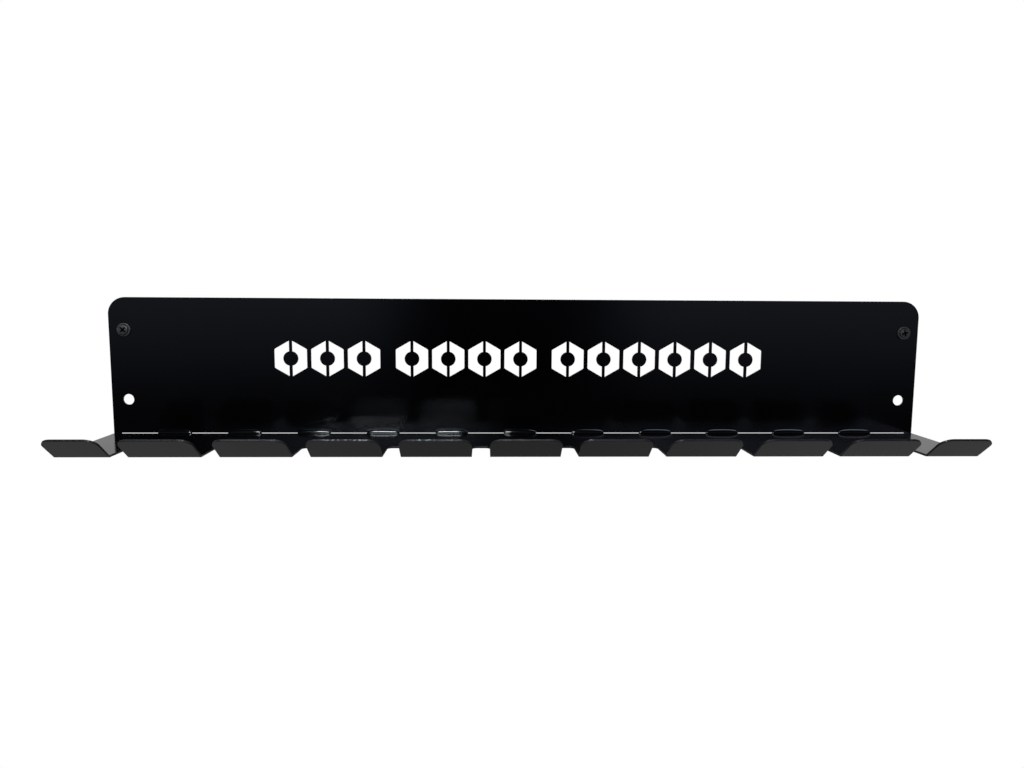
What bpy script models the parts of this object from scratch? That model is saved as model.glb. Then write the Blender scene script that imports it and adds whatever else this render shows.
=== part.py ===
"""Wall rack for air tools: one laser-cut, folded steel sheet, held up by two screws.

Frame in metres: +Z is up, +X runs along the wall and -Y comes out of it. The origin is on the wall,
behind the back plate, midway between the two upper screw holes.

The sheet is drawn flat and then folded. In the flat, u runs along the rack, v runs up the back plate
from its fold with the shelf, and w goes through the thickness towards the side that faces the tools.
"""

import math

import bmesh
import bpy
from mathutils import Matrix, Vector

# Sheet
RACK_LENGTH = 0.6096
SHEET = 0.0015
PLATE_HEIGHT = 0.1031  # underside of the shelf to the top edge of the back plate
PLATE_CORNER = 0.0127
SHELF_DEPTH = 0.0825  # wall to the fold of the lips, along the underside
LIP_LENGTH = 0.0232  # along the outer face of a lip, from its fold
LIP_ANGLE = math.radians(37.5)  # how far a lip turns up from the shelf
LIP_CORNER = 0.0075
LIP_FOLD_INSIDE = 0.0015

# Slots that the plugs of the air tools slide into
SLOT_COUNT = 10
SLOT_WIDTH = 0.0120
SLOT_DEPTH = 0.0295  # from the fold of the lips to the closed end
SLOT_CORNER = 0.0035
END_FINGER = 0.0351  # width of the first and the last finger

# Perforated fold between the back plate and the shelf
SLIT_COUNT = 12
SLIT_LENGTH = 0.0272
SLIT_GAP = 0.00025  # height of the slit above the shelf once it is folded
END_STRAP = 0.0054  # metal between the end of the rack and its first slit
STRAP_INSIDE = 0.0002
BRIDGE_INSIDE = 0.0036  # inside radius of the fold at the middle of a bridge
BRIDGE_END_INSIDE = 0.0002  # and at its two ends

# Screws and their holes
SCREW_RADIUS = 0.0024
SCREW_CORE = 0.0017
SCREW_LENGTH = 0.0320  # under the head
SCREW_TIP = 0.0060
THREAD_PITCH = 0.0020
PLAIN_SHANK = 0.0035
HOLE_CLEARANCE = 0.0016
SCREW_SHIFT = HOLE_CLEARANCE / 2  # each screw sits off centre in its hole, towards its end
HOLE_INSET = 0.0120
HOLE_DROP = 0.0240  # top edge to the upper holes
HOLE_SPACING = 0.0520  # upper holes to lower holes
HEAD_LAP = 0.0001
HEAD_FLANGE = 0.0011
HEAD_HEIGHT = 0.0023
RECESS_WING = 0.0058
RECESS_WIDTH = 0.0014
RECESS_DEPTH = 0.0024
SCREW_TURNS = {"screw_left": math.radians(45), "screw_right": math.radians(15)}
SEAT_GAP = 0.0003

# Row of hexagon nuts cut through the back plate, as decoration
NUT_GROUPS = (3, 4, 6)
NUT_HEIGHT = 0.0280  # across the corners
NUT_CORNER = 0.0010
NUT_GAP = 0.0030
GROUP_GAP = 0.0116
NUT_BAND_DROP = 0.0450  # top edge to the middle of the row
NUT_CENTRE = 0.0055  # radius of the round piece that stays in the middle
NUT_TAB = 0.0022  # the two tabs that hold it

# Fineness
CORNER_STEPS = 4
HOLE_STEPS = 24
NUT_STEPS = 10
FOLD_CELLS = 4  # cells on each side of the middle of the shelf fold
BRIDGE_CELLS = 8  # cells along each bridge
TURN_STEPS = 16
WELD = 0.00002  # points nearer than this are one point
RINGS_PER_PITCH = 4

# Worked out from the sizes above. Runs are measured along the middle of the sheet.
half_length = RACK_LENGTH / 2
half_sheet = SHEET / 2
lip_overrun = half_sheet * math.tan(LIP_ANGLE / 2)
shelf_run = SHELF_DEPTH - half_sheet - lip_overrun
lip_run = LIP_LENGTH - lip_overrun
plate_top = PLATE_HEIGHT - half_sheet
lip_radius = LIP_FOLD_INSIDE + half_sheet
lip_tangent = lip_radius * math.tan(LIP_ANGLE / 2)
slot_pitch = (RACK_LENGTH - 2 * END_FINGER - SLOT_WIDTH) / (SLOT_COUNT - 1)
slit_pitch = (RACK_LENGTH - 2 * END_STRAP - SLIT_LENGTH) / (SLIT_COUNT - 1)
bridge_half = (slit_pitch - SLIT_LENGTH) / 2
bridge_radius = BRIDGE_INSIDE + half_sheet
fold_height = HOLE_DROP - plate_top  # height of the shelf's middle layer in the world
hole_radius = SCREW_RADIUS + HOLE_CLEARANCE
head_radius = hole_radius + SCREW_SHIFT + HEAD_LAP
hole_offset = half_length - HOLE_INSET


def new_collection(name):
    collection = bpy.data.collections.new(name)
    bpy.context.scene.collection.children.link(collection)
    return collection


def make_material(name, colour, roughness, metallic):
    material = bpy.data.materials.new(name)
    material.use_nodes = True
    shader = material.node_tree.nodes["Principled BSDF"]
    shader.inputs["Base Color"].default_value = (*colour, 1.0)
    shader.inputs["Roughness"].default_value = roughness
    shader.inputs["Metallic"].default_value = metallic
    return material


def add_object(name, mesh, collection, material=None):
    item = bpy.data.objects.new(name, mesh)
    collection.objects.link(item)
    if material is not None:
        mesh.materials.append(material)
    return item


def evaluated_mesh(item):
    """The mesh that an object's curve and modifiers make, in the object's own space."""
    bpy.context.view_layer.update()
    graph = bpy.context.evaluated_depsgraph_get()
    return bpy.data.meshes.new_from_object(item.evaluated_get(graph))


# ---- Flat sheet ----


def rounded(corners, steps=CORNER_STEPS):
    """Turn corners of (u, v, radius) into points, with an arc at each corner that has a radius."""
    points = []
    for index, (u, v, radius) in enumerate(corners):
        corner = Vector((u, v))
        if radius == 0:
            points.append(corner)
            continue
        before = Vector(corners[index - 1][:2]) - corner
        after = Vector(corners[(index + 1) % len(corners)][:2]) - corner
        before.normalize()
        after.normalize()
        half_angle = before.angle(after) / 2
        start = before * radius / math.tan(half_angle)
        centre = (before + after).normalized() * radius / math.sin(half_angle)
        sweep = (math.pi - 2 * half_angle) * math.copysign(1, before.cross(after))
        for step in range(steps + 1):
            turn = Matrix.Rotation(-sweep * step / steps, 2)
            points.append(corner + centre + turn @ (start - centre))
    return points


def sheet_outline():
    """The outer edge of the flat: up one end, along the top, down, and back past every lip and slot."""
    tip = -(shelf_run + lip_run)
    slot_end = SLOT_DEPTH - shelf_run
    corners = [(-half_length, plate_top, PLATE_CORNER), (half_length, plate_top, PLATE_CORNER)]
    right = half_length
    for index in range(SLOT_COUNT):
        slot = half_length - END_FINGER - SLOT_WIDTH / 2 - index * slot_pitch
        left = slot + SLOT_WIDTH / 2
        corners += [(right, tip, LIP_CORNER), (left, tip, LIP_CORNER)]
        right = slot - SLOT_WIDTH / 2
        corners += [(left, slot_end, SLOT_CORNER), (right, slot_end, SLOT_CORNER)]
    corners += [(right, tip, LIP_CORNER), (-half_length, tip, LIP_CORNER)]
    return rounded(corners)


def slit_outlines():
    half_width = half_sheet + SLIT_GAP
    outlines = []
    for index in range(SLIT_COUNT):
        left = END_STRAP - half_length + index * slit_pitch
        right = left + SLIT_LENGTH
        lower, upper = -half_width, half_width
        outlines.append([(left, lower), (right, lower), (right, upper), (left, upper)])
    return outlines


def hole_outlines():
    outlines = []
    for side in (-1, 1):
        for drop in (HOLE_DROP, HOLE_DROP + HOLE_SPACING):
            points = []
            for step in range(HOLE_STEPS):
                angle = math.tau * step / HOLE_STEPS
                u = side * hole_offset + hole_radius * math.cos(angle)
                v = plate_top - drop + hole_radius * math.sin(angle)
                points.append((u, v))
            outlines.append(points)
    return outlines


def nut_outlines():
    """Each nut is two mirrored cut-outs, which leave a round centre held by a tab above and below."""
    corner_radius = NUT_HEIGHT / 2
    flat = corner_radius * math.cos(math.radians(30))
    tab = NUT_TAB / 2
    edge = corner_radius - tab * math.tan(math.radians(30))
    reach = math.acos(tab / NUT_CENTRE)
    half = [(tab, edge, 0), (flat, corner_radius / 2, NUT_CORNER)]
    half += [(flat, -corner_radius / 2, NUT_CORNER), (tab, -edge, 0)]
    half_nut = rounded(half, steps=2)
    for step in range(NUT_STEPS + 1):
        angle = reach * (2 * step / NUT_STEPS - 1)
        half_nut.append(Vector((NUT_CENTRE * math.cos(angle), NUT_CENTRE * math.sin(angle))))

    nuts = sum(NUT_GROUPS)
    gaps = len(NUT_GROUPS) - 1
    band = nuts * 2 * flat + (nuts - 1 - gaps) * NUT_GAP + gaps * GROUP_GAP
    middle = flat - band / 2
    height = plate_top - NUT_BAND_DROP
    outlines = []
    for count in NUT_GROUPS:
        for _ in range(count):
            for side in (-1, 1):
                outlines.append([(middle + side * point.x, height + point.y) for point in half_nut])
            middle += 2 * flat + NUT_GAP
        middle += GROUP_GAP - NUT_GAP
    return outlines


def flat_sheet():
    """The laser-cut blank as a closed bmesh, with x, y and z as u, v and w."""
    curve = bpy.data.curves.new("blank", "CURVE")
    curve.dimensions = "2D"
    curve.fill_mode = "BOTH"
    curve.extrude = half_sheet
    outlines = [sheet_outline()] + slit_outlines() + hole_outlines() + nut_outlines()
    for outline in outlines:
        spline = curve.splines.new("POLY")
        spline.points.add(len(outline) - 1)
        for point, place in zip(spline.points, outline):
            point.co = (place[0], place[1], 0.0, 1.0)
        spline.use_cyclic_u = True
    blank = bpy.data.objects.new("blank", curve)
    bpy.context.scene.collection.objects.link(blank)
    mesh = evaluated_mesh(blank)
    bpy.data.objects.remove(blank)

    bm = bmesh.new()
    bm.from_mesh(mesh)
    bpy.data.meshes.remove(mesh)
    bmesh.ops.remove_doubles(bm, verts=bm.verts, dist=WELD)
    bmesh.ops.recalc_face_normals(bm, faces=bm.faces)
    bmesh.ops.dissolve_limit(bm, angle_limit=math.radians(1), verts=[], edges=bm.edges)
    return bm


# ---- Folding ----


def split(bm, faces, place, direction):
    """Split faces along a straight line of the flat, so that they can bend there."""
    edges = {edge for face in faces for edge in face.edges}
    verts = {vert for face in faces for vert in face.verts}
    geometry = list(verts) + list(edges) + list(faces)
    bmesh.ops.bisect_plane(bm, geom=geometry, dist=0.000001, plane_co=place, plane_no=direction)


def split_at_folds(bm):
    fold_lines = []
    for cell in range(FOLD_CELLS + 1):
        reach = bridge_radius * (cell / FOLD_CELLS) ** 1.3
        fold_lines += [-reach, reach] if cell else [0.0]
    for cell in (-1.0, -0.5, 0.0, 0.5, 1.0):
        fold_lines.append(cell * lip_tangent - shelf_run)
    for line in fold_lines:
        split(bm, list(bm.faces), (0, line, 0), (0, 1, 0))

    for bridge in range(1, SLIT_COUNT):
        middle = (bridge - SLIT_COUNT / 2) * slit_pitch
        for cell in range(BRIDGE_CELLS + 1):
            offset = bridge_half * math.sin(math.pi * (cell / BRIDGE_CELLS - 0.5))
            curved = [face for face in bm.faces if in_shelf_fold(face)]
            split(bm, curved, (middle + offset, 0, 0), (1, 0, 0))
    bmesh.ops.dissolve_degenerate(bm, dist=WELD / 10, edges=bm.edges)


def in_shelf_fold(face):
    return abs(face.calc_center_median().y) < bridge_radius


def shelf_fold_radius(u):
    """Middle-layer radius of the shelf fold: widest in the middle of each bridge, and tight at its ends."""
    place = u / slit_pitch + SLIT_COUNT / 2
    bridge = round(place)
    if bridge < 1 or bridge > SLIT_COUNT - 1:
        return half_sheet + STRAP_INSIDE
    share = min(1.0, abs(place - bridge) * slit_pitch / bridge_half)
    tight = half_sheet + BRIDGE_END_INSIDE
    return tight + (bridge_radius - tight) * (1 - share**3) ** (1 / 3)


def folded(u, v, w):
    """Where a point of the flat sheet ends up in the world."""
    radius = shelf_fold_radius(u)
    if v >= radius:
        out, up = -half_sheet - w, v
    elif v > -radius:
        angle = math.radians(90) * (1 - v / radius) / 2
        reach = radius - w
        out = -half_sheet - radius + reach * math.cos(angle)
        up = radius - reach * math.sin(angle)
    elif v >= lip_tangent - shelf_run:
        out, up = v - half_sheet, w
    elif v > -lip_tangent - shelf_run:
        angle = LIP_ANGLE * (lip_tangent - shelf_run - v) / (2 * lip_tangent)
        reach = lip_radius - w
        out = lip_tangent - shelf_run - half_sheet - reach * math.sin(angle)
        up = lip_radius - reach * math.cos(angle)
    else:
        along = -v - shelf_run
        out = -shelf_run - half_sheet - along * math.cos(LIP_ANGLE) + w * math.sin(LIP_ANGLE)
        up = along * math.sin(LIP_ANGLE) + w * math.cos(LIP_ANGLE)
    return Vector((u, out, up + fold_height))


def make_rack_body(collection, material):
    bm = flat_sheet()
    split_at_folds(bm)
    for vert in bm.verts:
        vert.co = folded(*vert.co)
    mesh = bpy.data.meshes.new("rack_body")
    bm.to_mesh(mesh)
    bm.free()
    mesh.shade_smooth()
    mesh.set_sharp_from_angle(angle=math.radians(25))
    return add_object("rack_body", mesh, collection, material)


# ---- Screws ----


def screw_profile():
    """Half outline of a screw that points down, from the top of its head to its tip."""
    dome_radius = head_radius * 0.70
    points = [(0, HEAD_HEIGHT)]
    for step in range(1, 5):
        angle = math.radians(90) * step / 4
        drop = (HEAD_HEIGHT - HEAD_FLANGE) * (1 - math.cos(angle)) * 0.75
        points.append((dome_radius * math.sin(angle), HEAD_HEIGHT - drop))
    points.append((dome_radius, HEAD_FLANGE * 0.9))
    points.append((head_radius - HEAD_FLANGE / 3, HEAD_FLANGE))
    points.append((head_radius, HEAD_FLANGE * 2 / 3))
    points.append((head_radius, 0))
    points.append((SCREW_RADIUS, 0))
    points.append((SCREW_RADIUS, -PLAIN_SHANK))
    rings = round((SCREW_LENGTH - PLAIN_SHANK) / THREAD_PITCH * RINGS_PER_PITCH)
    for ring in range(1, rings):
        depth = PLAIN_SHANK + (SCREW_LENGTH - PLAIN_SHANK) * ring / rings
        points.append((core_radius(depth), -depth))
    points.append((0, -SCREW_LENGTH))
    return points


def core_radius(depth):
    """Radius between the threads: level along the shank, and running out to a point at the tip."""
    left = max(0.0, SCREW_LENGTH - depth)
    return SCREW_CORE * min(1.0, left / SCREW_TIP) ** 0.8


def cut_thread(mesh):
    """Raise a right-handed thread on the rings of the core."""
    start = PLAIN_SHANK + THREAD_PITCH / RINGS_PER_PITCH / 2
    for vert in mesh.vertices:
        depth = -vert.co.z
        radius = math.hypot(vert.co.x, vert.co.y)
        if depth < start or radius < 0.00001:
            continue
        turn = math.atan2(vert.co.y, vert.co.x) / math.tau
        wave = (1 + math.cos(math.tau * (vert.co.z / THREAD_PITCH - turn))) / 2
        growth = (SCREW_RADIUS - SCREW_CORE) * radius / SCREW_CORE * wave
        scale = (radius + growth) / radius
        vert.co.x *= scale
        vert.co.y *= scale


def screw_mesh(collection):
    profile = screw_profile()
    edges = [(index, index + 1) for index in range(len(profile) - 1)]
    mesh = bpy.data.meshes.new("screw_profile")
    mesh.from_pydata([(radius, 0, height) for radius, height in profile], edges, [])
    turned = add_object("screw_profile", mesh, collection)
    spin = turned.modifiers.new("turn", "SCREW")
    spin.steps = spin.render_steps = TURN_STEPS
    spin.use_merge_vertices = True
    spin.merge_threshold = WELD
    result = evaluated_mesh(turned)
    bpy.data.objects.remove(turned)
    cut_thread(result)
    result.shade_smooth()
    result.set_sharp_from_angle(angle=math.radians(40))
    return result


def recess_cutter(name, place, collection):
    """A tapered cross, a little proud of the head, that cuts the driver's recess."""
    bm = bmesh.new()
    for turn in (0, 90):
        cube = bmesh.ops.create_cube(bm, size=1.0)
        for vert in cube["verts"]:
            low = vert.co.z < 0
            vert.co.x *= RECESS_WING * (0.36 if low else 1.0)
            vert.co.y *= RECESS_WIDTH * (0.60 if low else 1.0)
            vert.co.z = HEAD_HEIGHT - RECESS_DEPTH if low else HEAD_HEIGHT + 0.0002
        bmesh.ops.rotate(bm, verts=cube["verts"], matrix=Matrix.Rotation(math.radians(turn), 3, "Z"))
    mesh = bpy.data.meshes.new(name)
    bm.to_mesh(mesh)
    bm.free()
    cutter = add_object(name, mesh, collection)
    cutter.matrix_world = place
    cutter.hide_render = True
    cutter.display_type = "WIRE"
    return cutter


def make_screws(parts, cutters, material):
    mesh = screw_mesh(cutters)
    mesh.materials.append(material)
    for name, side in (("screw_left", -1), ("screw_right", 1)):
        seat = Vector((side * (hole_offset + SCREW_SHIFT), -SHEET - SEAT_GAP, 0))
        place = Matrix.Translation(seat) @ Matrix.Rotation(math.radians(90), 4, "X")
        place = place @ Matrix.Rotation(SCREW_TURNS[name], 4, "Z")
        screw = add_object(name, mesh, parts)
        screw.matrix_world = place
        recess = screw.modifiers.new("recess", "BOOLEAN")
        recess.operation = "DIFFERENCE"
        recess.solver = "EXACT"
        recess.use_self = True
        recess.object = recess_cutter(name + "_recess", place, cutters)


def main():
    for item in list(bpy.data.objects):
        bpy.data.objects.remove(item)
    parts = new_collection("air_tool_rack")
    cutters = new_collection("cutters")
    powder_coat = make_material("black_powder_coat", (0.010, 0.011, 0.012), 0.22, 0.0)
    black_steel = make_material("black_screw_steel", (0.055, 0.055, 0.058), 0.45, 0.8)
    make_rack_body(parts, powder_coat)
    make_screws(parts, cutters, black_steel)


main()
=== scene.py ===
# %% [markdown]
# # A wall rack for air tools
#
# The real object is one sheet of steel, cut by laser, folded twice and powder coated black, and two
# screws that hold it on a wall. The plug of each air tool slides into a slot of the shelf and rests
# on it, so the tool hangs below, and the turned-up lips at the front keep the plug from sliding out.
#
# The imported CAD model gives every place and size. It is loaded first, and its box is kept, so that
# the folded rack can be checked against it.

# %% Load the CAD model
import math

import bpy
from mathutils import Matrix, Vector


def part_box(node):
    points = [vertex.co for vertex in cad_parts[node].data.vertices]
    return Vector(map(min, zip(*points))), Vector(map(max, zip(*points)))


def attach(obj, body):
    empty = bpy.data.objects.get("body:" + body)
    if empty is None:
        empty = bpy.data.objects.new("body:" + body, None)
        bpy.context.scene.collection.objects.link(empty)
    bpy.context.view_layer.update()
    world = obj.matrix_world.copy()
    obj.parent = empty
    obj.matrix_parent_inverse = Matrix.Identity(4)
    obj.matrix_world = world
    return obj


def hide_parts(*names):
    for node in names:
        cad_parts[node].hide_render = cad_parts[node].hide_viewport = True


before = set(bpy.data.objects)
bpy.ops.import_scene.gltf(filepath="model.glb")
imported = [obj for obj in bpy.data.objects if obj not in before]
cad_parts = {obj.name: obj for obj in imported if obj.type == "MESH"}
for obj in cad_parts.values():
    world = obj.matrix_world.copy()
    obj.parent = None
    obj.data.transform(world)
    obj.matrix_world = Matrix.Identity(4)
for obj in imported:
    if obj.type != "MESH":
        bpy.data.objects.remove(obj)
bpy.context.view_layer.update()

rack_low, rack_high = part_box("rack_body")

# %% [markdown]
# ## The camera
#
# The camera stands a little more than half a metre away, about level with the top of the back plate
# and looking slightly down. From so near, a wide lens makes the ends of the shelf run outwards,
# which a long lens would flatten. It stands a little to the left of the middle and is turned and
# tilted by a degree or two, as a hand-held one is, so no lens shift is used.

# %% Camera
CAMERA_PLACE = (-0.0267, -0.5798, 0.0263)
CAMERA_DOWN = math.radians(6.52)
CAMERA_RIGHT = math.radians(2.02)
CAMERA_TILT = math.radians(0.35)
LENS = 27.0  # millimetres, on a sensor 36 mm wide

camera_data = bpy.data.cameras.new("camera")
camera_data.lens = LENS
camera_data.sensor_width = 36.0
camera_data.clip_start = 0.01
camera = bpy.data.objects.new("camera", camera_data)
bpy.context.scene.collection.objects.link(camera)
aim = Matrix.Rotation(-CAMERA_RIGHT, 4, "Z") @ Matrix.Rotation(math.radians(90) - CAMERA_DOWN, 4, "X")
camera.matrix_world = Matrix.Translation(CAMERA_PLACE) @ aim @ Matrix.Rotation(CAMERA_TILT, 4, "Z")
bpy.context.scene.camera = camera
print("camera", round(-CAMERA_PLACE[1], 3), "m in front of the wall")

# %% [markdown]
# ## Helpers for modelling with operators
#
# An operator acts on whatever is selected, so each step starts with nothing selected. Edges and
# faces are picked in code, by where they are or which way they face, while the object is out of edit
# mode, because that is when Blender lets a script change the selection of a mesh.

# %% Selection helpers


def select_only(piece):
    """Select one object and make it the active one."""
    bpy.ops.object.select_all(action="DESELECT")
    piece.select_set(True)
    bpy.context.view_layer.objects.active = piece


def pick(piece, edges=None, faces=None):
    """Enter edit mode with only the edges or faces selected that pass a test. Returns how many did."""
    select_only(piece)
    mesh = piece.data
    bpy.ops.object.mode_set(mode="EDIT")
    bpy.ops.mesh.select_mode(type="EDGE" if edges else "FACE")
    bpy.ops.mesh.select_all(action="DESELECT")
    bpy.ops.object.mode_set(mode="OBJECT")
    count = 0
    for item in mesh.edges if edges else mesh.polygons:
        item.select = (edges or faces)(mesh, item)
        count += item.select
    bpy.ops.object.mode_set(mode="EDIT")
    return count


def leave_edit():
    bpy.ops.object.mode_set(mode="OBJECT")


def join(pieces):
    """Join pieces into the first one."""
    select_only(pieces[0])
    for piece in pieces:
        piece.select_set(True)
    if len(pieces) > 1:
        bpy.ops.object.join()
    return pieces[0]


def cut_away(piece, cutter):
    """Cut one object out of another with an exact Boolean, and remove the cutter."""
    cut = piece.modifiers.new("cut", "BOOLEAN")
    cut.operation = "DIFFERENCE"
    cut.solver = "EXACT"
    cut.object = cutter
    select_only(piece)
    bpy.ops.object.modifier_apply(modifier=cut.name)
    bpy.data.objects.remove(cutter)


def measure(piece):
    """Print a mesh's size, and how many of its edges don't join exactly two faces."""
    uses = {}
    for polygon in piece.data.polygons:
        for key in polygon.edge_keys:
            uses[key] = uses.get(key, 0) + 1
    loose = sum(1 for count in uses.values() if count != 2)
    size = [round(value * 1000, 1) for value in piece.dimensions]
    print(f"{piece.name}: {len(piece.data.polygons)} faces, {size} mm, {loose} open edges")


# %% [markdown]
# ## The blank
#
# A fabricator draws the sheet flat, cuts it, and folds it last, and the same order works well here.
# On a flat slab every cut is a straight Boolean, and every corner and every rim can be bevelled
# while all the faces still meet at right angles. Modelling it already folded would mean cutting
# slots through a bend. In the flat, x runs along the rack, y runs up the back plate from its fold
# with the shelf, and z goes through the thickness towards the side that faces the tools.
#
# The lengths are measured along the middle of the sheet, because that layer keeps its length when
# the sheet bends.

# %% Sizes of the blank
SHEET = 0.0015
HALF_SHEET = SHEET / 2
LIP_ANGLE = math.radians(37.5)
LIP_LENGTH = 0.0232
LIP_OVERRUN = HALF_SHEET * math.tan(LIP_ANGLE / 2)
LENGTH = rack_high.x - rack_low.x
PLATE_TOP = rack_high.z - rack_low.z - HALF_SHEET
TIP_OUT = LIP_LENGTH * math.cos(LIP_ANGLE)
SHELF_RUN = rack_high.y - rack_low.y - TIP_OUT - HALF_SHEET - LIP_OVERRUN
LIP_RUN = LIP_LENGTH - LIP_OVERRUN
TIP = -(SHELF_RUN + LIP_RUN)
print(f"blank {LENGTH * 1000:.1f} x {(PLATE_TOP - TIP) * 1000:.1f} mm, shelf {SHELF_RUN * 1000:.1f} mm")

# %% Cut the slab to size


def slab(name, low, high, thickness=SHEET):
    """A box between two corners of the flat, as thick as asked."""
    middle = ((low[0] + high[0]) / 2, (low[1] + high[1]) / 2, 0)
    bpy.ops.object.select_all(action="DESELECT")
    bpy.ops.mesh.primitive_cube_add(size=1, location=middle)
    piece = bpy.context.active_object
    piece.name = name
    piece.scale = (high[0] - low[0], high[1] - low[1], thickness)
    bpy.ops.object.transform_apply(location=True, rotation=True, scale=True)
    return piece


rack = slab("rack_sheet", (-LENGTH / 2, TIP), (LENGTH / 2, PLATE_TOP))
measure(rack)

# %% [markdown]
# ## What the laser cuts out
#
# Ten slots are open at the front. Twelve slits along the fold weaken the sheet there, so that it
# bends in the right place: only the eleven bridges between them and a strap at each end are bent.
# Four round holes take the screws. The row in the middle of the plate is decoration: hexagon nuts,
# each left with a round centre that two tabs hold, as a stencil needs.
#
# Each shape could be traced in the outline of the slab, but separate cutters are easier to read and
# to change, and one Boolean with all of them joined keeps the flat faces in few pieces.

# %% Slots, slits and screw holes
SLOT_COUNT, SLOT_WIDTH, SLOT_DEPTH, END_FINGER = 10, 0.0120, 0.0295, 0.0351
SLOT_END = SLOT_DEPTH - SHELF_RUN
SLOT_PITCH = (LENGTH - 2 * END_FINGER - SLOT_WIDTH) / (SLOT_COUNT - 1)
SLIT_COUNT, SLIT_LENGTH, SLIT_GAP, END_STRAP = 12, 0.0272, 0.00025, 0.0054
SLIT_PITCH = (LENGTH - 2 * END_STRAP - SLIT_LENGTH) / (SLIT_COUNT - 1)
HOLE_RADIUS, HOLE_INSET, HOLE_DROP, HOLE_SPACING = 0.0040, 0.0120, 0.0240, 0.0520
DEEP = 4 * SHEET  # how thick a cutter is, so that it passes both faces

cutters = []
for index in range(SLOT_COUNT):
    left = END_FINGER - LENGTH / 2 + index * SLOT_PITCH
    cutters.append(slab("slot", (left, TIP - 0.01), (left + SLOT_WIDTH, SLOT_END), DEEP))
for index in range(SLIT_COUNT):
    left = END_STRAP - LENGTH / 2 + index * SLIT_PITCH
    reach = HALF_SHEET + SLIT_GAP
    cutters.append(slab("slit", (left, -reach), (left + SLIT_LENGTH, reach), DEEP))
for side in (-1, 1):
    for drop in (HOLE_DROP, HOLE_DROP + HOLE_SPACING):
        spot = (side * (LENGTH / 2 - HOLE_INSET), PLATE_TOP - drop, 0)
        bpy.ops.mesh.primitive_cylinder_add(vertices=48, radius=HOLE_RADIUS, depth=DEEP, location=spot)
        bpy.ops.object.transform_apply(location=True, rotation=True, scale=True)
        cutters.append(bpy.context.active_object)
print(len(cutters), "cutters for slots, slits and holes")

# %% Where the nuts go
NUT_GROUPS, NUT_HEIGHT, NUT_GAP, GROUP_GAP = (3, 4, 6), 0.0280, 0.0030, 0.0116
NUT_BAND_DROP, NUT_CENTRE, NUT_TAB = 0.0450, 0.0055, 0.0022
NUT_WIDTH = NUT_HEIGHT * math.cos(math.radians(30))
nuts, breaks = sum(NUT_GROUPS), len(NUT_GROUPS) - 1
band = nuts * NUT_WIDTH + (nuts - 1 - breaks) * NUT_GAP + breaks * GROUP_GAP
nut_places = []
place = (NUT_WIDTH - band) / 2
for group in NUT_GROUPS:
    for _ in range(group):
        nut_places.append(place)
        place += NUT_WIDTH + NUT_GAP
    place += GROUP_GAP - NUT_GAP
print(nuts, "nuts over", round(band * 1000, 1), "mm")

# %% [markdown]
# A face in Blender has one outline and no holes, so a Boolean that leaves a hole in the middle of a
# face has to add an edge of its own from the hole to the outline, often at a slant that spoils a
# later bevel. Lines cut through the slab beforehand, where each hole will be, spare it that: every
# hole then touches a line, and meets it at a wide angle.

# %% Lines through every hole


def cut_lines(places, direction):
    """Bisect everything that shows in edit mode, once at each place."""
    for at in places:
        bpy.ops.mesh.select_all(action="SELECT")
        bpy.ops.mesh.bisect(plane_co=direction * at, plane_no=direction)


ALONG, ACROSS = Vector((0, 1, 0)), Vector((1, 0, 0))
NUT_LINE = NUT_WIDTH * 0.3  # from the middle of a nut to the line on each side of it
select_only(rack)
bpy.ops.object.mode_set(mode="EDIT")
cut_lines([0.0, PLATE_TOP - HOLE_DROP, PLATE_TOP - HOLE_DROP - HOLE_SPACING], ALONG)
leave_edit()
pick(rack, faces=lambda mesh, face: face.center.y > 0)
bpy.ops.mesh.hide(unselected=True)
cut_lines([x + side * NUT_LINE for x in nut_places for side in (-1, 1)], ACROSS)
bpy.ops.mesh.reveal(select=False)
leave_edit()
measure(rack)

# %% Hexagon nuts


def nut_cutter(x, y):
    """A hexagon standing on a corner, without its round centre and the two tabs that hold it."""
    bpy.ops.object.select_all(action="DESELECT")
    bpy.ops.mesh.primitive_cylinder_add(vertices=6, radius=NUT_HEIGHT / 2, depth=DEEP, location=(x, y, 0))
    nut = bpy.context.active_object
    bpy.ops.object.transform_apply(location=True, rotation=True, scale=True)
    bpy.ops.mesh.primitive_cylinder_add(vertices=40, radius=NUT_CENTRE, depth=2 * DEEP, location=(x, y, 0))
    bpy.ops.object.transform_apply(location=True, rotation=True, scale=True)
    cut_away(nut, bpy.context.active_object)
    low, high = (x - NUT_TAB / 2, y - NUT_HEIGHT), (x + NUT_TAB / 2, y + NUT_HEIGHT)
    cut_away(nut, slab("tab", low, high, 2 * DEEP))
    return nut


for x in nut_places:
    cutters.append(nut_cutter(x, PLATE_TOP - NUT_BAND_DROP))
cut_away(rack, join(cutters))
measure(rack)

# %% [markdown]
# ## Corners and rims
#
# The corners of the outline are rounded by bevelling the short upright edges there, with a different
# radius for the plate, the lips, the slots and the nuts. After that the rims are broken. A laser
# leaves a sharp rim, but powder coat flows round it in the oven, so the finished edge is soft, and
# that is what catches the light along the lips. A rim is found by its two faces: one lies flat and the
# other is a wall.

# %% Round the corners
PLATE_CORNER, LIP_CORNER, SLOT_CORNER, NUT_CORNER = 0.0127, 0.0075, 0.0035, 0.0006
NEAR, CLOSE = 0.00001, 0.0001  # how far apart two places may be and still count as one


def round_upright_edges(radius, segments, test):
    """Bevel the edges that go through the sheet where test(x, y) is true."""

    def wanted(mesh, edge):
        start, end = (mesh.vertices[index].co for index in edge.vertices)
        return abs(start.z - end.z) > HALF_SHEET and test(start.x, start.y)

    count = pick(rack, edges=wanted)
    bpy.ops.mesh.bevel(offset=radius, segments=segments, affect="EDGES", clamp_overlap=False)
    leave_edit()
    print(f"{count} corners rounded to {radius * 1000:.1f} mm")


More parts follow.
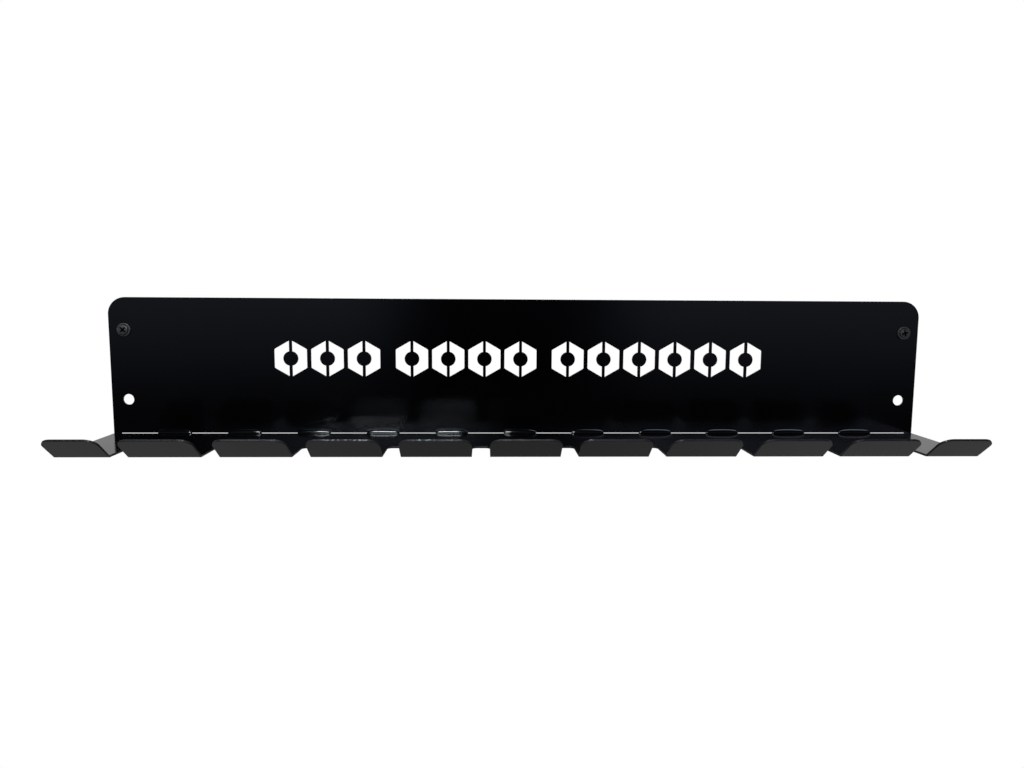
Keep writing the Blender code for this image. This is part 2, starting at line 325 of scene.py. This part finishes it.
def nut_side(x, y):
    """True at the four corners at a nut's left and right, which are off its tabs and its centre."""
    height = abs(y - (PLATE_TOP - NUT_BAND_DROP))
    return abs(x) < band / 2 + NEAR and abs(height - NUT_HEIGHT / 4) < CLOSE


round_upright_edges(PLATE_CORNER, 14, lambda x, y: y > PLATE_TOP - NEAR and abs(x) > LENGTH / 2 - NEAR)
round_upright_edges(LIP_CORNER, 10, lambda x, y: y < TIP + NEAR)
round_upright_edges(SLOT_CORNER, 8, lambda x, y: abs(y - SLOT_END) < NEAR)
round_upright_edges(NUT_CORNER, 4, nut_side)
measure(rack)

# %% Soften the rims
RIM = 0.00022

lies_flat = {}
for polygon in rack.data.polygons:
    for key in polygon.edge_keys:
        lies_flat.setdefault(key, []).append(abs(polygon.normal.z) > 0.5)
rims = {edge.index for edge in rack.data.edges if sorted(lies_flat[edge.key]) == [False, True]}
pick(rack, edges=lambda mesh, edge: edge.index in rims)
bpy.ops.mesh.bevel(offset=RIM, segments=3, affect="EDGES", clamp_overlap=False)
leave_edit()
print(len(rims), "edges between a flat face and a wall softened")
measure(rack)

# %% [markdown]
# ## Cells for the bends
#
# A flat face can't bend, so the strips that will be folded are cut into narrow cells first, with
# bisect. Lines along the rack go through the whole sheet. Lines across it are only needed where a
# bridge bends, so the rest of the sheet is hidden while they are cut, because an operator in edit
# mode leaves hidden faces alone. They stand closer together near the ends of each bridge, where the
# bend tightens quickly.

# %% Cut the strips
BRIDGE_RADIUS = HALF_SHEET + 0.0036  # of the middle of the sheet, at the middle of a bridge
BRIDGE_END_RADIUS = HALF_SHEET + 0.0002
STRAP_RADIUS = HALF_SHEET + 0.0002
LIP_RADIUS = HALF_SHEET + 0.0015
LIP_TANGENT = LIP_RADIUS * math.tan(LIP_ANGLE / 2)
BRIDGE_HALF = (SLIT_PITCH - SLIT_LENGTH) / 2
BRIDGE_CELLS, FOLD_CELLS, LIP_CELLS = 18, 12, 10
BRIDGE_MARGIN = 0.00006  # how far past a bridge's end its last line lies, so that it misses the corner

select_only(rack)
bpy.ops.object.mode_set(mode="EDIT")
reaches = [BRIDGE_RADIUS * (n / FOLD_CELLS) ** 1.25 for n in range(1, FOLD_CELLS + 1)]
cut_lines([-reach for reach in reaches] + [0.0] + reaches, ALONG)
cut_lines([LIP_TANGENT * (2 * n / LIP_CELLS - 1) - SHELF_RUN for n in range(LIP_CELLS + 1)], ALONG)
leave_edit()

in_fold = pick(rack, faces=lambda mesh, face: abs(face.center.y) < BRIDGE_RADIUS)
bpy.ops.mesh.hide(unselected=True)
for bridge in range(1, SLIT_COUNT):
    middle = (bridge - SLIT_COUNT / 2) * SLIT_PITCH
    turns = [math.pi * (n / BRIDGE_CELLS - 0.5) for n in range(BRIDGE_CELLS + 1)]
    cut_lines([middle + (BRIDGE_HALF + BRIDGE_MARGIN) * math.sin(turn) for turn in turns], ACROSS)
bpy.ops.mesh.reveal(select=False)
leave_edit()
print(in_fold, "faces near the fold, before the bridges were cut across")
measure(rack)

# %% [markdown]
# ## The cut edge as an attribute
#
# Powder is drawn to a rim, and thins over the wall that the laser left, so the finish needs to know
# which parts of the surface are cut walls. In the flat that is easy to tell, since a wall's points
# lie between the two faces. The answer is stored on the mesh now, where the fold can't change it.

# %% Mark the cut edge
cut_edge = rack.data.attributes.new("cut_edge", "FLOAT", "POINT")
marked = 0
for vertex in rack.data.vertices:
    depth = (HALF_SHEET - abs(vertex.co.z)) / RIM
    cut_edge.data[vertex.index].value = min(1.0, max(0.0, depth))
    marked += depth > 0.9
print(marked, "of", len(rack.data.vertices), "points lie on cut walls")

# %% [markdown]
# ## The folds
#
# A press brake bends the sheet along a straight line. Here the slits let each bridge open into a
# lens: the bend is wide at the bridge's middle and tight at both its ends. No bend modifier gives
# that, because the radius changes along the fold, so each point is moved by a formula. It is carried
# round an arc whose radius depends on where along the rack it lies, and the arc meets the flat
# sheet on both sides without a crease.

# %% Fold the sheet
FOLD_HEIGHT = rack_low.z + HALF_SHEET


def fold_radius(x):
    """Radius of the middle of the sheet in the shelf fold, at a place along the rack."""
    place = x / SLIT_PITCH + SLIT_COUNT / 2
    bridge = round(place)
    if bridge < 1 or bridge > SLIT_COUNT - 1:
        return STRAP_RADIUS
    share = min(1.0, abs(place - bridge) * SLIT_PITCH / BRIDGE_HALF)
    return BRIDGE_END_RADIUS + (BRIDGE_RADIUS - BRIDGE_END_RADIUS) * (1 - share**3) ** (1 / 3)


def folded(point):
    """Where a point of the flat sheet ends up in the folded one."""
    x, y, z = point
    radius = fold_radius(x)
    if y >= radius:
        out, up = -HALF_SHEET - z, y
    elif y > -radius:
        angle = math.radians(45) * (1 - y / radius)
        out = -HALF_SHEET - radius + (radius - z) * math.cos(angle)
        up = radius - (radius - z) * math.sin(angle)
    elif y >= LIP_TANGENT - SHELF_RUN:
        out, up = y - HALF_SHEET, z
    elif y > -LIP_TANGENT - SHELF_RUN:
        angle = LIP_ANGLE * (LIP_TANGENT - SHELF_RUN - y) / (2 * LIP_TANGENT)
        out = LIP_TANGENT - SHELF_RUN - HALF_SHEET - (LIP_RADIUS - z) * math.sin(angle)
        up = LIP_RADIUS - (LIP_RADIUS - z) * math.cos(angle)
    else:
        along = -y - SHELF_RUN
        out = -SHELF_RUN - HALF_SHEET - along * math.cos(LIP_ANGLE) + z * math.sin(LIP_ANGLE)
        up = along * math.sin(LIP_ANGLE) + z * math.cos(LIP_ANGLE)
    return Vector((x, out, up + FOLD_HEIGHT))


for vertex in rack.data.vertices:
    vertex.co = folded(vertex.co)
rack.data.update()
measure(rack)

# %% [markdown]
# ## Shading
#
# Smooth shading alone would smear each rounded rim over the wide flat face beside it. Weighted
# normals let the largest face around a point decide, so the flats stay flat and the rims still look
# round. The sharp inner corners of the stencil tabs are kept sharp.

# %% Weighted normals


def shade(piece, angle):
    """Smooth a piece up to an angle, and let its large faces decide the normals."""
    select_only(piece)
    bpy.ops.object.shade_smooth_by_angle(angle=math.radians(angle))
    weight = piece.modifiers.new("weight", "WEIGHTED_NORMAL")
    weight.keep_sharp = True
    weight.weight = 60
    bpy.ops.object.modifier_apply(modifier=weight.name)


shade(rack, 40)
print("inside the CAD box:", all(
    rack_low[axis] - 1e-5 < side[axis] < rack_high[axis] + 1e-5
    for side in rack.bound_box
    for axis in range(3)
))

# %% [markdown]
# ## The screws
#
# Each screw is a pan head on a collar, with a cross recess, on a coarse wood-screw shank. The rack
# hangs on the two of them, so the heads show and the threads stand out behind it. A screw is turned
# work, so it is grown from one disc: the collar is inset and extruded upwards into the head, and
# downwards, ring after ring, into the shank. The thread then comes from pushing the points of those
# rings out along a helix, which keeps one clean closed skin.

# %% Head
HEAD_RADIUS, HEAD_FLANGE, HEAD_HEIGHT = 0.0049, 0.0011, 0.0023
CENTRE_RADIUS, GROOVE, DOME = 0.0034, 0.00030, 0.00042
GROOVE_WIDTH, COLLAR_ROUND, CENTRE_ROUND = 0.0004, 0.00035, 0.0003
DOME_STEPS = 6
LEDGE = HEAD_HEIGHT - DOME  # where the raised centre's side turns into its dome
SCREW_RADIUS, SCREW_CORE = 0.0024, 0.0017


def top_face(mesh, face):
    return face.normal.z > 0.9 and face.center.z > max(item.center.z for item in mesh.polygons) - NEAR


def bottom_face(mesh, face):
    return face.normal.z < -0.9 and face.center.z < min(item.center.z for item in mesh.polygons) + NEAR


def pull(distance):
    """Extrude the selected faces along z."""
    bpy.ops.mesh.extrude_region_move(TRANSFORM_OT_translate={"value": (0, 0, distance)})


def at_height(height, radius):
    """A test for the edges of one ring."""

    def test(mesh, edge):
        ends = [mesh.vertices[index].co for index in edge.vertices]
        return all(abs(end.z - height) < NEAR and abs(end.xy.length - radius) < CLOSE for end in ends)

    return test


bpy.ops.object.select_all(action="DESELECT")
collar = (0, 0, HEAD_FLANGE / 2)
bpy.ops.mesh.primitive_cylinder_add(vertices=48, radius=HEAD_RADIUS, depth=HEAD_FLANGE, location=collar)
bpy.ops.object.transform_apply(location=True, rotation=True, scale=True)
screw = bpy.context.active_object
screw.name = "screw"
pick(screw, faces=top_face)
bpy.ops.mesh.inset(thickness=HEAD_RADIUS - CENTRE_RADIUS - GROOVE_WIDTH, depth=-GROOVE / 4)
bpy.ops.mesh.inset(thickness=GROOVE_WIDTH, depth=-GROOVE * 3 / 4)
pull(LEDGE - HEAD_FLANGE + GROOVE)
rises = range(DOME_STEPS, 0, -1)  # each ring of the dome rises less than the one outside it
for rise in rises:
    bpy.ops.mesh.inset(thickness=CENTRE_RADIUS / (DOME_STEPS + 2), depth=DOME * rise / sum(rises))
leave_edit()
pick(screw, edges=at_height(HEAD_FLANGE, HEAD_RADIUS))
bpy.ops.mesh.bevel(offset=COLLAR_ROUND, segments=4, affect="EDGES")
leave_edit()
pick(screw, edges=at_height(LEDGE, CENTRE_RADIUS))
bpy.ops.mesh.bevel(offset=CENTRE_ROUND, segments=4, affect="EDGES")
leave_edit()
measure(screw)
print("head tops out at", round(max(vertex.co.z for vertex in screw.data.vertices) * 1000, 2), "mm")

# %% Shank and point
SCREW_LENGTH, SCREW_TIP, THREAD_PITCH, PLAIN_SHANK = 0.0320, 0.0060, 0.0020, 0.0035
RINGS = 14  # rings of points for each turn of the thread
CREST_POWER = 2.2  # higher makes the crests thinner and the valleys between them wider


def core_radius(depth):
    """Radius between the threads: level along the shank, and running out to the point."""
    left = max(0.0, SCREW_LENGTH - depth)
    return max(0.00006, SCREW_CORE * min(1.0, left / SCREW_TIP) ** 0.8)


pick(screw, faces=bottom_face)
bpy.ops.mesh.inset(thickness=0.0001, depth=0)
bpy.ops.mesh.inset(thickness=HEAD_RADIUS - SCREW_RADIUS - 0.0001, depth=0)
pull(-PLAIN_SHANK)
bpy.ops.transform.resize(value=(SCREW_CORE / SCREW_RADIUS,) * 2 + (1,), center_override=(0, 0, 0))
rings = round((SCREW_LENGTH - PLAIN_SHANK) / THREAD_PITCH * RINGS)
step = (SCREW_LENGTH - PLAIN_SHANK) / rings
for ring in range(1, rings + 1):
    pull(-step)
    depth = PLAIN_SHANK + ring * step
    narrower = core_radius(depth) / core_radius(depth - step)
    if narrower < 1:
        bpy.ops.transform.resize(value=(narrower, narrower, 1), center_override=(0, 0, 0))
leave_edit()
measure(screw)

# %% Thread
start = PLAIN_SHANK + THREAD_PITCH / 4
for vertex in screw.data.vertices:
    depth, radius = -vertex.co.z, vertex.co.xy.length
    if depth > start and radius > 0.0001:
        turn = math.atan2(vertex.co.y, vertex.co.x) / math.tau
        wave = 0.5 + 0.5 * math.cos(math.tau * (vertex.co.z / THREAD_PITCH - turn))
        fade = min(1.0, (depth - start) / THREAD_PITCH)
        crest = (SCREW_RADIUS - SCREW_CORE) / SCREW_CORE * wave ** CREST_POWER * fade
        vertex.co.x *= 1 + crest
        vertex.co.y *= 1 + crest
screw.data.update()
print("thread", round((SCREW_LENGTH - start) / THREAD_PITCH, 1), "turns")

# %% [markdown]
# ## The cross recess
#
# A driver's recess tapers as it goes down, so that the bit wedges in it. One wing is a cube whose
# bottom is made narrower in edit mode. It is cut out twice, the second time after a quarter turn. The
# points of its floor, and of the groove round the raised centre, are marked in an attribute, and the
# finish paints them near black: painted shade, where the recess and the groove fall dark.

# %% Recess
RECESS_WING, RECESS_WIDTH, RECESS_DEPTH = 0.0058, 0.0014, 0.0024
FLOOR_LENGTH, FLOOR_WIDTH = 0.50, 0.75  # of a wing's floor, as shares of its top


def recess_wing(turn):
    """One tapered wing of the recess, turned about the screw's axis."""
    bpy.ops.object.select_all(action="DESELECT")
    bpy.ops.mesh.primitive_cube_add(size=1, location=(0, 0, HEAD_HEIGHT - RECESS_DEPTH / 2 + 0.0001))
    wing = bpy.context.active_object
    wing.scale = (RECESS_WING, RECESS_WIDTH, RECESS_DEPTH + 0.0002)
    wing.rotation_euler.z = turn
    bpy.ops.object.transform_apply(location=True, rotation=True, scale=True)
    pick(wing, faces=bottom_face)
    along = abs(math.cos(turn)) > 0.5
    taper = (FLOOR_LENGTH, FLOOR_WIDTH) if along else (FLOOR_WIDTH, FLOOR_LENGTH)
    bpy.ops.transform.resize(value=(*taper, 1), center_override=(0, 0, 0))
    leave_edit()
    return wing


for quarter in range(2):
    cut_away(screw, recess_wing(math.radians(90) * quarter))
# Painted shade: the recess floor and the groove round the raised centre are marked to be painted near
# black.
recess = screw.data.attributes.new("recess", "FLOAT", "POINT")
for vertex in screw.data.vertices:
    out, up = vertex.co.xy.length, vertex.co.z
    on_floor = out < RECESS_WING / 3 and -RECESS_DEPTH / 4 < up < LEDGE
    in_groove = abs(out - CENTRE_RADIUS) < NEAR and up < HEAD_FLANGE
    recess.data[vertex.index].value = 1.0 if on_floor else 0.6 if in_groove else 0.0
measure(screw)

# %% [markdown]
# ## Two copies, each in its place
#
# The finished screw is copied, each copy with its own mesh, and its place and turn are applied to
# that mesh. Nobody lines up the recesses when they drive screws, so one stands as a cross on its
# corner and the other is only a little turned.

# %% Place the screws
TURNS = {"screw_left": 45, "screw_right": 15}
shade(screw, 38)
screws = {}
for name, turn in TURNS.items():
    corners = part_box(name)
    middle = (corners[0] + corners[1]) / 2
    copy = screw.copy()
    copy.data = screw.data.copy()
    bpy.context.scene.collection.objects.link(copy)
    copy.name = copy.data.name = name + "_turned"
    seat = (middle.x, corners[0].y + HEAD_HEIGHT, middle.z)
    lie = Matrix.Rotation(math.radians(90), 4, "X") @ Matrix.Rotation(math.radians(turn), 4, "Z")
    copy.matrix_world = Matrix.Translation(seat) @ lie
    select_only(copy)
    bpy.ops.object.transform_apply(location=True, rotation=True, scale=True)
    screws[name] = copy
bpy.data.objects.remove(screw)
print([(piece.name, [round(value * 1000, 1) for value in piece.dimensions]) for piece in screws.values()])

# %% [markdown]
# ## Shader maths in plain expressions
#
# A material's sums read better as expressions than as a web of nodes. The class below wraps a
# socket, and each sum or product adds the Math node that does it. Its add method makes any other
# node: it takes a kind, the settings, and the values or links of the sockets.

# %% Socket class


class Wire:
    """An output socket that can be used in sums. Each operation adds one Math node."""

    def __init__(self, tree, socket):
        self.tree, self.socket = tree, socket

    def feed(self, target, value):
        if isinstance(value, Wire):
            self.tree.links.new(value.socket, target)
        else:
            target.default_value = value

    def math(self, operation, first, second=0.0, clamp=False):
        node = self.tree.nodes.new("ShaderNodeMath")
        node.operation = operation
        node.use_clamp = clamp
        self.feed(node.inputs[0], first)
        self.feed(node.inputs[1], second)
        return Wire(self.tree, node.outputs[0])

    def add(self, kind, settings=None, output=0, **sockets):
        """Any other node. Socket names are written with _ for a space, or as in0, in1 by number."""
        node = self.tree.nodes.new("ShaderNode" + kind)
        for name, value in (settings or {}).items():
            setattr(node, name, value)
        for name, value in sockets.items():
            numbered = name[:2] == "in" and name[2:].isdigit()
            self.feed(node.inputs[int(name[2:]) if numbered else name.replace("_", " ")], value)
        return Wire(self.tree, node.outputs[output])

    def __add__(self, other):
        return self.math("ADD", self, other)

    def __sub__(self, other):
        return self.math("SUBTRACT", self, other)

    def __rsub__(self, other):
        return self.math("SUBTRACT", other, self)

    def __mul__(self, other):
        return self.math("MULTIPLY", self, other)

    __radd__, __rmul__ = __add__, __mul__


def blend(mask, low, high):
    """A colour between two, by a mask from 0 to 1."""
    return mask.add("Mix", {"data_type": "RGBA"}, output=2, in0=mask, in6=low, in7=high)


def between(value, low, high, to_low=0.0, to_high=1.0):
    """A smooth step from one value to another as the input goes from low to high."""
    return value.add("MapRange", {"interpolation_type": "SMOOTHSTEP"},
                     Value=value, in1=low, in2=high, in3=to_low, in4=to_high)


def noise(where, size, detail=2.0, seed=0.0):
    """Noise whose patches are about the given size in metres across, from 0 to 1."""
    moved = where.add("Mapping", Vector=where, Location=(seed, seed * 0.7, -seed))
    return where.add("TexNoise", Vector=moved, Scale=1 / size, Detail=detail)


def new_finish(name):
    """An empty material, its object coordinates and its shader."""
    material = bpy.data.materials.new(name)
    material.use_nodes = True
    tree = material.node_tree
    shader = tree.nodes["Principled BSDF"]
    coordinates = tree.nodes.new("ShaderNodeTexCoord")
    return material, Wire(tree, coordinates.outputs["Object"]), shader


# %% [markdown]
# ## Black powder coat
#
# Powder coat is a plastic film baked on the steel, so it is not metallic, and its black is the black
# of the resin. What shows is gloss. Three things make it look like powder coat and not like paint:
# a slow orange-peel wave about a millimetre across where the powder flowed together, a finer grain
# on top of it, and gloss that drifts a little from place to place. The cut walls have a thinner,
# rougher film, through which the fine lines of the laser still show. It is shiny only in patches, so
# the light along the lips breaks up into short bright dashes. A few grains of dust got baked in.

# %% Powder coat
powder_coat, where, shader = new_finish("powder_coat_black")
edge = where.add("Attribute", {"attribute_name": "cut_edge"}, output=2)
peel = noise(where, 0.0013, 1.0)
grain = noise(where, 0.00032, 2.0, seed=3.0)
drift = noise(where, 0.045, 2.0, seed=7.0)
patches = between(noise(where, 0.0014, 2.0, seed=11.0), 0.48, 0.62)
lines = where.add("TexNoise", Vector=where.add("Mapping", Vector=where, Scale=(1.0, 0.12, 0.12)),
                  Scale=1 / 0.00025, Detail=1.0)
grains = where.add("TexVoronoi", {"feature": "F1"}, Vector=where, Scale=1 / 0.011)
lottery = where.add("TexVoronoi", {"feature": "F1"}, output=1, Vector=where, Scale=1 / 0.011)
chosen = between(where.add("SeparateColor", in0=lottery), 0.93, 0.94)
dust = (1 - between(grains, 0.012, 0.026)) * chosen
print("powder coat nodes:", len(powder_coat.node_tree.nodes))

# %% Powder coat sockets
base = blend(drift, (0.0006, 0.0006, 0.0007, 1), (0.0012, 0.0012, 0.0014, 1))
base = blend(edge, base, (0.0045, 0.0045, 0.0050, 1))
base = blend(dust, base, (0.20, 0.20, 0.21, 1))
rough = between(drift, 0.25, 0.75, 0.10, 0.14) + (grain - 0.5) * 0.05
rough = rough + edge * (0.56 - patches * 0.42 + grain * 0.10) + dust * 0.4
height = peel * 0.75 + grain * 0.12 + dust * 1.2 + lines * edge * 0.5
bump = height.add("Bump", Strength=1.0, Distance=0.000012, Height=height)
where.feed(shader.inputs["Base Color"], base)
where.feed(shader.inputs["Roughness"], rough)
where.feed(shader.inputs["Normal"], bump)
shader.inputs["IOR"].default_value = 1.5
rack.data.materials.clear()
rack.data.materials.append(powder_coat)

# %% [markdown]
# ## Blackened steel
#
# The screws are hardened steel with a thin black conversion layer, so they are metallic and dark,
# with a soft grey sheen. The layer is grainy, and the tumbling of a box of screws has rubbed it
# brighter on the rims and crests. Pointiness finds those in a viewport, but it isn't kept by an
# export, so the wear follows noise and the radius from each screw's own axis.

# %% Screw steel


def blackened_steel(name, axis_x, axis_z):
    """Dark steel, with faint turning marks around one screw's axis."""
    material, where, shader = new_finish(name)
    centred = where.add("Mapping", Vector=where, Location=(-axis_x, 0, -axis_z))
    flat = where.add("VectorMath", {"operation": "MULTIPLY"}, in0=centred, in1=(1, 0, 1))
    radius = flat.add("VectorMath", {"operation": "LENGTH"}, output=1, in0=flat)
    turning = where.math("SINE", radius * (math.tau / 0.00016))
    clouds = noise(where, 0.0011, 3.0, seed=2.0)
    grain = noise(where, 0.00012, 2.0, seed=5.0)
    rubbed = between(clouds + grain * 0.5, 0.72, 0.98)
    recess = where.add("Attribute", {"attribute_name": "recess"}, output=2)
    colour = blend(clouds, (0.100, 0.095, 0.087, 1), (0.140, 0.134, 0.124, 1))
    colour = blend(rubbed, colour, (0.21, 0.20, 0.185, 1))
    # Painted shade: the recess floor and the groove round the raised centre are painted near black.
    colour = blend(between(recess, 0.0, 0.35), colour, (0.003, 0.003, 0.003, 1))
    where.feed(shader.inputs["Base Color"], colour)
    where.feed(shader.inputs["Roughness"], 0.66 - rubbed * 0.08 + (grain - 0.5) * 0.16)
    shader.inputs["Metallic"].default_value = 0.85
    height = grain * 0.6 + clouds * 0.4 + turning * 0.08
    where.feed(shader.inputs["Normal"], height.add("Bump", Distance=0.00001, Height=height))
    return material


for name, piece in screws.items():
    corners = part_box(name)
    middle = (corners[0] + corners[1]) / 2
    piece.data.materials.clear()
    piece.data.materials.append(blackened_steel(name + "_steel", middle.x, middle.z))
print("steel finishes:", [piece.data.materials[0].name for piece in screws.values()])

# %% [markdown]
# ## Floor and light
#
# The rack hangs free in front of plain white, so the floor lies well below it. A glossy black thing
# has no colour of its own to show: it is drawn by what it mirrors. The back plate mirrors the dim
# room behind the camera, the shelf mirrors that room by way of the plate, and the lips mirror the
# floor. So the surroundings are set by direction, as soft grey cards would be in a studio, while the
# camera itself sees clean white.
#
# The room is brightest at the level of the camera and dark in its middle, where the camera and
# whoever holds it stand in the way. Higher up there is a window on the right, which draws the bright
# line on the bridges there, and a paler sill on both sides, which the shelf picks up.

# %% Surroundings
WINDOW_GLOW, SILL_GLOW = 4.3, 0.55
world = bpy.data.worlds.new("studio")
bpy.context.scene.world = world
world.use_nodes = True
sky = world.node_tree
direction = sky.nodes.new("ShaderNodeTexCoord")
path = sky.nodes.new("ShaderNodeLightPath")
look = Wire(sky, direction.outputs["Generated"])
seen = Wire(sky, path.outputs["Is Camera Ray"])
parts = look.add("SeparateXYZ", Vector=look).socket.node
aside, ahead, above = (Wire(sky, parts.outputs[axis]) for axis in "XYZ")
behind_plate = between(above, -0.30, 0.02, 0.30, 0.50)
camera_shade = between(aside, -0.17, -0.07) * (1 - between(aside, 0.10, 0.24))
room = between(above, -0.17, 0.03, 0.004, 0.22) * (1 - between(above, 0.06, 0.15) * 0.9)
behind_camera = room * (1 - camera_shade * 0.95)
light = between(ahead, -0.25, 0.25) * (behind_plate - behind_camera) + behind_camera
to_the_left = between(aside, -0.36, -0.16) * (1 - between(aside, -0.06, 0.06))
to_the_right = between(aside, 0.06, 0.22) * (1 - between(aside, 0.50, 0.62))
window = between(above, 0.23, 0.29) * (1 - between(above, 0.38, 0.47)) * WINDOW_GLOW
sill = between(above, 0.03, 0.20) * (1 - between(above, 0.30, 0.40)) * SILL_GLOW
facing = 1 - between(ahead, -0.7, -0.5)
light = light + (window * to_the_right + sill * (to_the_left + to_the_right * 0.42)) * facing
tint = blend(between(ahead, -0.25, 0.25), (0.82, 0.92, 1.18, 1), (1, 1, 1, 1))  # cool daylight in front
tinted = tint.add("VectorMath", {"operation": "SCALE"}, in0=tint, Scale=light)
colour = blend(seen, tinted, (1, 1, 1, 1))
background = sky.nodes["Background"]
look.feed(background.inputs["Color"], colour)
print("studio nodes:", len(sky.nodes))

# %% [markdown]
# The floor glows, as painted light: to the camera it is plain white, and in reflections its glow is dimmer
# under the rack, as painted shade, and brighter out to the sides, so the outer lips come out paler than
# the middle ones. It goes dark towards the camera, since the foot of the plate would otherwise mirror it
# through the slots.

# %% Floor
FLOOR_DROP = 0.45
# Glow of the floor in reflections: painted light, dimmer under the rack as painted shade, and only a share
# of it towards the camera.
UNDER_RACK_GLOW, SIDE_GLOW, FRONT_GLOW_SHARE = 0.185, 0.27, 0.03


def floor_surface():
    """White to the camera and a soft grey painted glow in reflections, like paper under a light tent, with
    painted shade under the rack.
    """
    material, where, shader = new_finish("floor_painted_glow")
    tree = material.node_tree
    path = Wire(tree, tree.nodes.new("ShaderNodeLightPath").outputs["Is Camera Ray"])
    split = where.add("SeparateXYZ", Vector=where)
    away = Wire(tree, split.socket.node.outputs["Y"])
    # Painted shade: the floor's glow is dimmer under the rack and darker towards the camera.
    reflected_glow = between(split.math("ABSOLUTE", split), 0.05, 0.45, UNDER_RACK_GLOW, SIDE_GLOW)
    reflected_glow = reflected_glow * between(away, -1.1, -0.35, FRONT_GLOW_SHARE, 1.0)
    glow = path * (1 - reflected_glow) + reflected_glow
    painted_glow = where.add("Emission", Color=(1, 1, 1, 1), Strength=glow)
    output = tree.nodes["Material Output"]
    tree.links.new(painted_glow.socket, output.inputs["Surface"])
    return material


bpy.ops.object.select_all(action="DESELECT")
bpy.ops.mesh.primitive_plane_add(size=6.0, location=(0, 0, rack_low.z - FLOOR_DROP))
floor = bpy.context.active_object
floor.name = "floor"
floor.data.materials.append(floor_surface())
print("floor at", round(floor.location.z, 3), "m")

# %% [markdown]
# One long, narrow softbox hangs above and to the left. It is mirrored along the bridges in the left
# half of the fold, and by way of the lips it leaves two soft patches at the foot of the plate.
# Its power is worked out from its area, so that changing the size keeps how bright it looks.

# %% Lamp
LAMP_PLACE, LAMP_AIM = (-0.162, -0.261, 0.50), (-0.20, -0.05, -0.05)
LAMP_SIZE, LAMP_GLOW = (0.246, 0.11), 38.0
lamp_data = bpy.data.lights.new("softbox", "AREA")
lamp_data.shape = "RECTANGLE"
lamp_data.size, lamp_data.size_y = LAMP_SIZE
lamp_data.energy = LAMP_GLOW * math.pi * LAMP_SIZE[0] * LAMP_SIZE[1]
lamp_data.color = (0.86, 0.94, 1.0)
lamp = bpy.data.objects.new("softbox", lamp_data)
bpy.context.scene.collection.objects.link(lamp)
lamp.location = LAMP_PLACE
lamp.rotation_euler = (Vector(LAMP_AIM) - Vector(LAMP_PLACE)).to_track_quat("-Z", "Y").to_euler()
bpy.context.scene.view_settings.view_transform = "Standard"
print("lamp of", round(lamp_data.energy, 2), "W")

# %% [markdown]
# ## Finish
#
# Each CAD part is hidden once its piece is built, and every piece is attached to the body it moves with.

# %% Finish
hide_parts("rack_body")
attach(rack, "root")
for name, piece in screws.items():
    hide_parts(name)
    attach(piece, "root")
